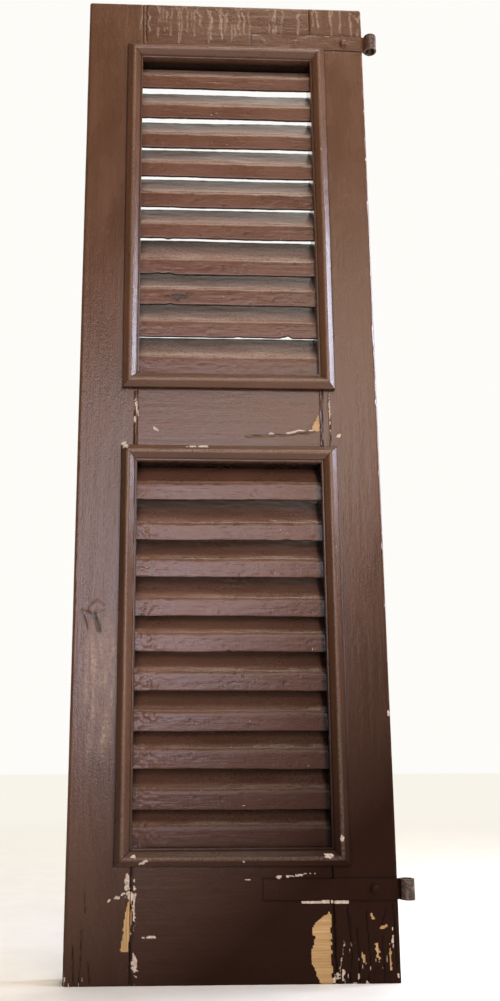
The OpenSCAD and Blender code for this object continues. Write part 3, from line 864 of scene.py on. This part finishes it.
def nut(node):
    """The grid of a square nut round the bolt: an inner wall and a square outer wall with broken corners,
    where the outer radius is half the flats over the larger of |cos| and |sin|."""
    low, high = box_of(node)
    cx, cz = (low[0] + high[0]) / 2, (low[2] + high[2]) / 2
    half, inner = (high[0] - low[0]) / 2 - 0.1, 4.08
    a = np.linspace(0, 2 * np.pi, 64, endpoint=False)
    outer = np.minimum(half / np.maximum(np.abs(np.cos(a)), np.abs(np.sin(a))), half * 1.3)
    y0, y1 = low[1], high[1]
    rings = [(0, y0 + 0.4), (0, y1 - 0.4), (0.15, y1), (0.93, y1), (1, y1 - 0.7), (1, y0 + 0.2),
             (0.97, y0), (0.1, y0)]
    grid = np.stack([np.stack([cx + (inner + (outer - inner) * k) * np.cos(a), 0 * a + y,
                               cz + (inner + (outer - inner) * k) * np.sin(a)], -1)
                     for k, y in rings], 0)
    return grid.transpose(1, 0, 2)


def closed_loop(name, grid, material, nodes):
    """A grid closed both ways, as a ring is: its last station joins its first."""
    n, m = grid.shape[:2]
    index = np.arange(n * m).reshape(n, m)
    a, b = index, np.roll(index, -1, 0)
    quads = np.stack([a, np.roll(a, -1, 1), np.roll(b, -1, 1), b], -1).reshape(-1, 4)
    mesh = bpy.data.meshes.new(name)
    mesh.from_pydata(((grid.reshape(-1, 3) + corner) / 1000).tolist(), [], quads.tolist())
    mesh.update()
    normals = np.zeros((len(quads), 3))
    centres = np.zeros((len(quads), 3))
    mesh.polygons.foreach_get("normal", normals.reshape(-1))
    mesh.polygons.foreach_get("center", centres.reshape(-1))
    areas = np.zeros(len(quads))
    mesh.polygons.foreach_get("area", areas)
    if ((centres - centres.mean(0)) * normals * areas[:, None]).sum() < 0:
        mesh.flip_normals()
    return hand_over(mesh, name, material, nodes, 35)


def screws(node):
    """Two countersunk screws, their slots filled with paint: a turned profile each."""
    low, high = box_of(node)
    head = 4.4
    z = (low[2] + high[2]) / 2
    t = np.array([(0.3, -0.86), (2.0, -0.88), (head - 0.5, -0.84), (head - 0.1, -0.65),
                  (head - 0.1, -0.5), (2.2, 1.6), (2.2, high[1] - 4), (0.3, high[1] - 0.1)])
    grids = [lathe(x, z, t, 32) for x in (low[0] + head, high[0] - head)]
    return to_mesh(node + "_iron", grids, [{}, {}], paint_level, [node])


for which, window in enumerate(("upper", "lower")):
    strap(window + "_strap_hinge", 900 + 10 * which)
    bolt(window + "_hinge_bolt", 930 + 10 * which)
    closed_loop(window + "_hinge_nut_iron", nut(window + "_hinge_nut"), iron_nut,
                [window + "_hinge_nut"])
    screws(window + "_strap_screws")
print("shanks", 2 * SHANK_R, "mm across")

# %% [markdown]
# ## Floor
# The leaf stands on a plain pale floor. Far off, the floor as the viewer sees it fades into the
# bright room, so that no hard horizon shows, and the light that it throws back does not change.

# %% Floor
FLOOR_HALF = 6.0                 # metres
FADE_FROM, FADE_TO = 0.5, 2.6    # metres from the leaf
floor_z = float(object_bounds()[0][2])
floor_mesh = bpy.data.meshes.new("floor")
floor_mesh.from_pydata([(x * FLOOR_HALF, y * FLOOR_HALF, floor_z)
                        for x, y in ((-1, -1), (1, -1), (1, 1), (-1, 1))], [], [(0, 1, 2, 3)])
floor = bpy.data.objects.new("floor", floor_mesh)
bpy.context.scene.collection.objects.link(floor)
plaster = new_material("pale_matt_floor")
tint = add(plaster, RAMP, {0: grain(plaster, (1, 1, 1), 60.0)},
           [(0.3, "#dcd6ca"), (0.7, "#e4ded2")])
matt = add(plaster, "ShaderNodeBsdfPrincipled", {"Base Color": tint, "Roughness": 0.8})
spot = add(plaster, "ShaderNodeTexCoord").outputs["Object"]
far = add(plaster, "ShaderNodeVectorMath", {0: spot}, operation="LENGTH").outputs["Value"]
far = add(plaster, "ShaderNodeMapRange", {"Value": far, "From Min": FADE_FROM,
                                          "From Max": FADE_TO})
seen_by_eye = add(plaster, "ShaderNodeLightPath").outputs["Is Camera Ray"]
fading = add(plaster, MATH, {0: far, 1: seen_by_eye}, operation="MULTIPLY")
glow = add(plaster, "ShaderNodeEmission", {"Color": "#f8f4ea"})
both = add(plaster, "ShaderNodeMixShader", {0: fading, 1: matt, 2: glow})
add(plaster, "ShaderNodeOutputMaterial", {"Surface": both})
floor_mesh.materials.append(plaster)
print("floor at", round(floor_z, 3), "m")

# %% [markdown]
# ## Lights
# Plain soft studio light. A warm panel overhead lights the slopes, windows behind the viewer
# show as a broad sheen on the paint, and cool panels at the right draw a pale line along the
# mouldings and the leaf's edge. The world is bright behind the leaf and dim in front.

# %% Lights


def area_light(name, place, target, width, height, watts, code):
    """A soft rectangular light that looks from place to target, both in metres."""
    data = bpy.data.lights.new(name, "AREA")
    data.shape, data.size, data.size_y = "RECTANGLE", width, height
    data.energy, data.color = watts, colour(code)[:3]
    light = bpy.data.objects.new(name, data)
    light.visible_camera = False
    bpy.context.scene.collection.objects.link(light)
    towards = Vector(np.array(target) - np.array(place)).to_track_quat("-Z", "Y")
    light.matrix_world = Matrix.Translation(place) @ towards.to_matrix().to_4x4()
    return light


area_light("key_overhead", (0.25, -0.85, 3.0), (-0.2, 0, 0.9), 1.3, 0.7, 29, "#fff0dc")
area_light("tall_window_behind", (-0.4, -3.2, 1.35), (-0.25, 0, 0.6), 1.6, 1.2, 38, "#f8f1fb")
area_light("high_window_behind", (0.75, -3.2, 2.1), (-0.1, 0, 0.8), 1.1, 1.2, 24, "#ffedd5")
area_light("low_lamp_behind", (-0.5, -3.2, 0.5), (-0.3, 0, 0.4), 0.6, 0.7, 20, "#efeaff")
area_light("side_window_right", (1.9, -0.45, 1.65), (-0.2, 0, 0.9), 0.9, 0.8, 60, "#dde6ff")
area_light("rim_behind_right", (1.6, 0.35, 1.3), (0, 0, 0.9), 0.4, 1.2, 45, "#dfe8ff")
area_light("room_beyond", (0.3, 3.2, 3.2), (0.0, 2.8, -0.1), 4.5, 3.5, 100, "#fff8ee")
world = bpy.data.worlds.new("bright_room")
bpy.context.scene.world = world
world.use_nodes = True
sky, world_out = (world.node_tree.nodes[name] for name in ("Background", "World Output"))
way = add(world, "ShaderNodeTexCoord").outputs["Generated"]
way = add(world, "ShaderNodeSeparateXYZ", {0: way})
behind = add(world, "ShaderNodeMapRange", {"Value": way.outputs["Y"], "From Min": -0.1,
                                           "From Max": 0.5, "To Min": 0.02, "To Max": 0.75})
sky.inputs["Color"].default_value = colour("#fff8ee")
world.node_tree.links.new(behind.outputs[0], sky.inputs["Strength"])
seen = add(world, "ShaderNodeBackground", {"Color": "#fdfcf8", "Strength": 1.0})
by_eye = add(world, "ShaderNodeLightPath").outputs["Is Camera Ray"]
room = add(world, "ShaderNodeMixShader", {0: by_eye, 1: sky, 2: seen})
world.node_tree.links.new(room.outputs[0], world_out.inputs[0])
bpy.context.scene.view_settings.view_transform = "Standard"
print("lights", len(bpy.data.lights))
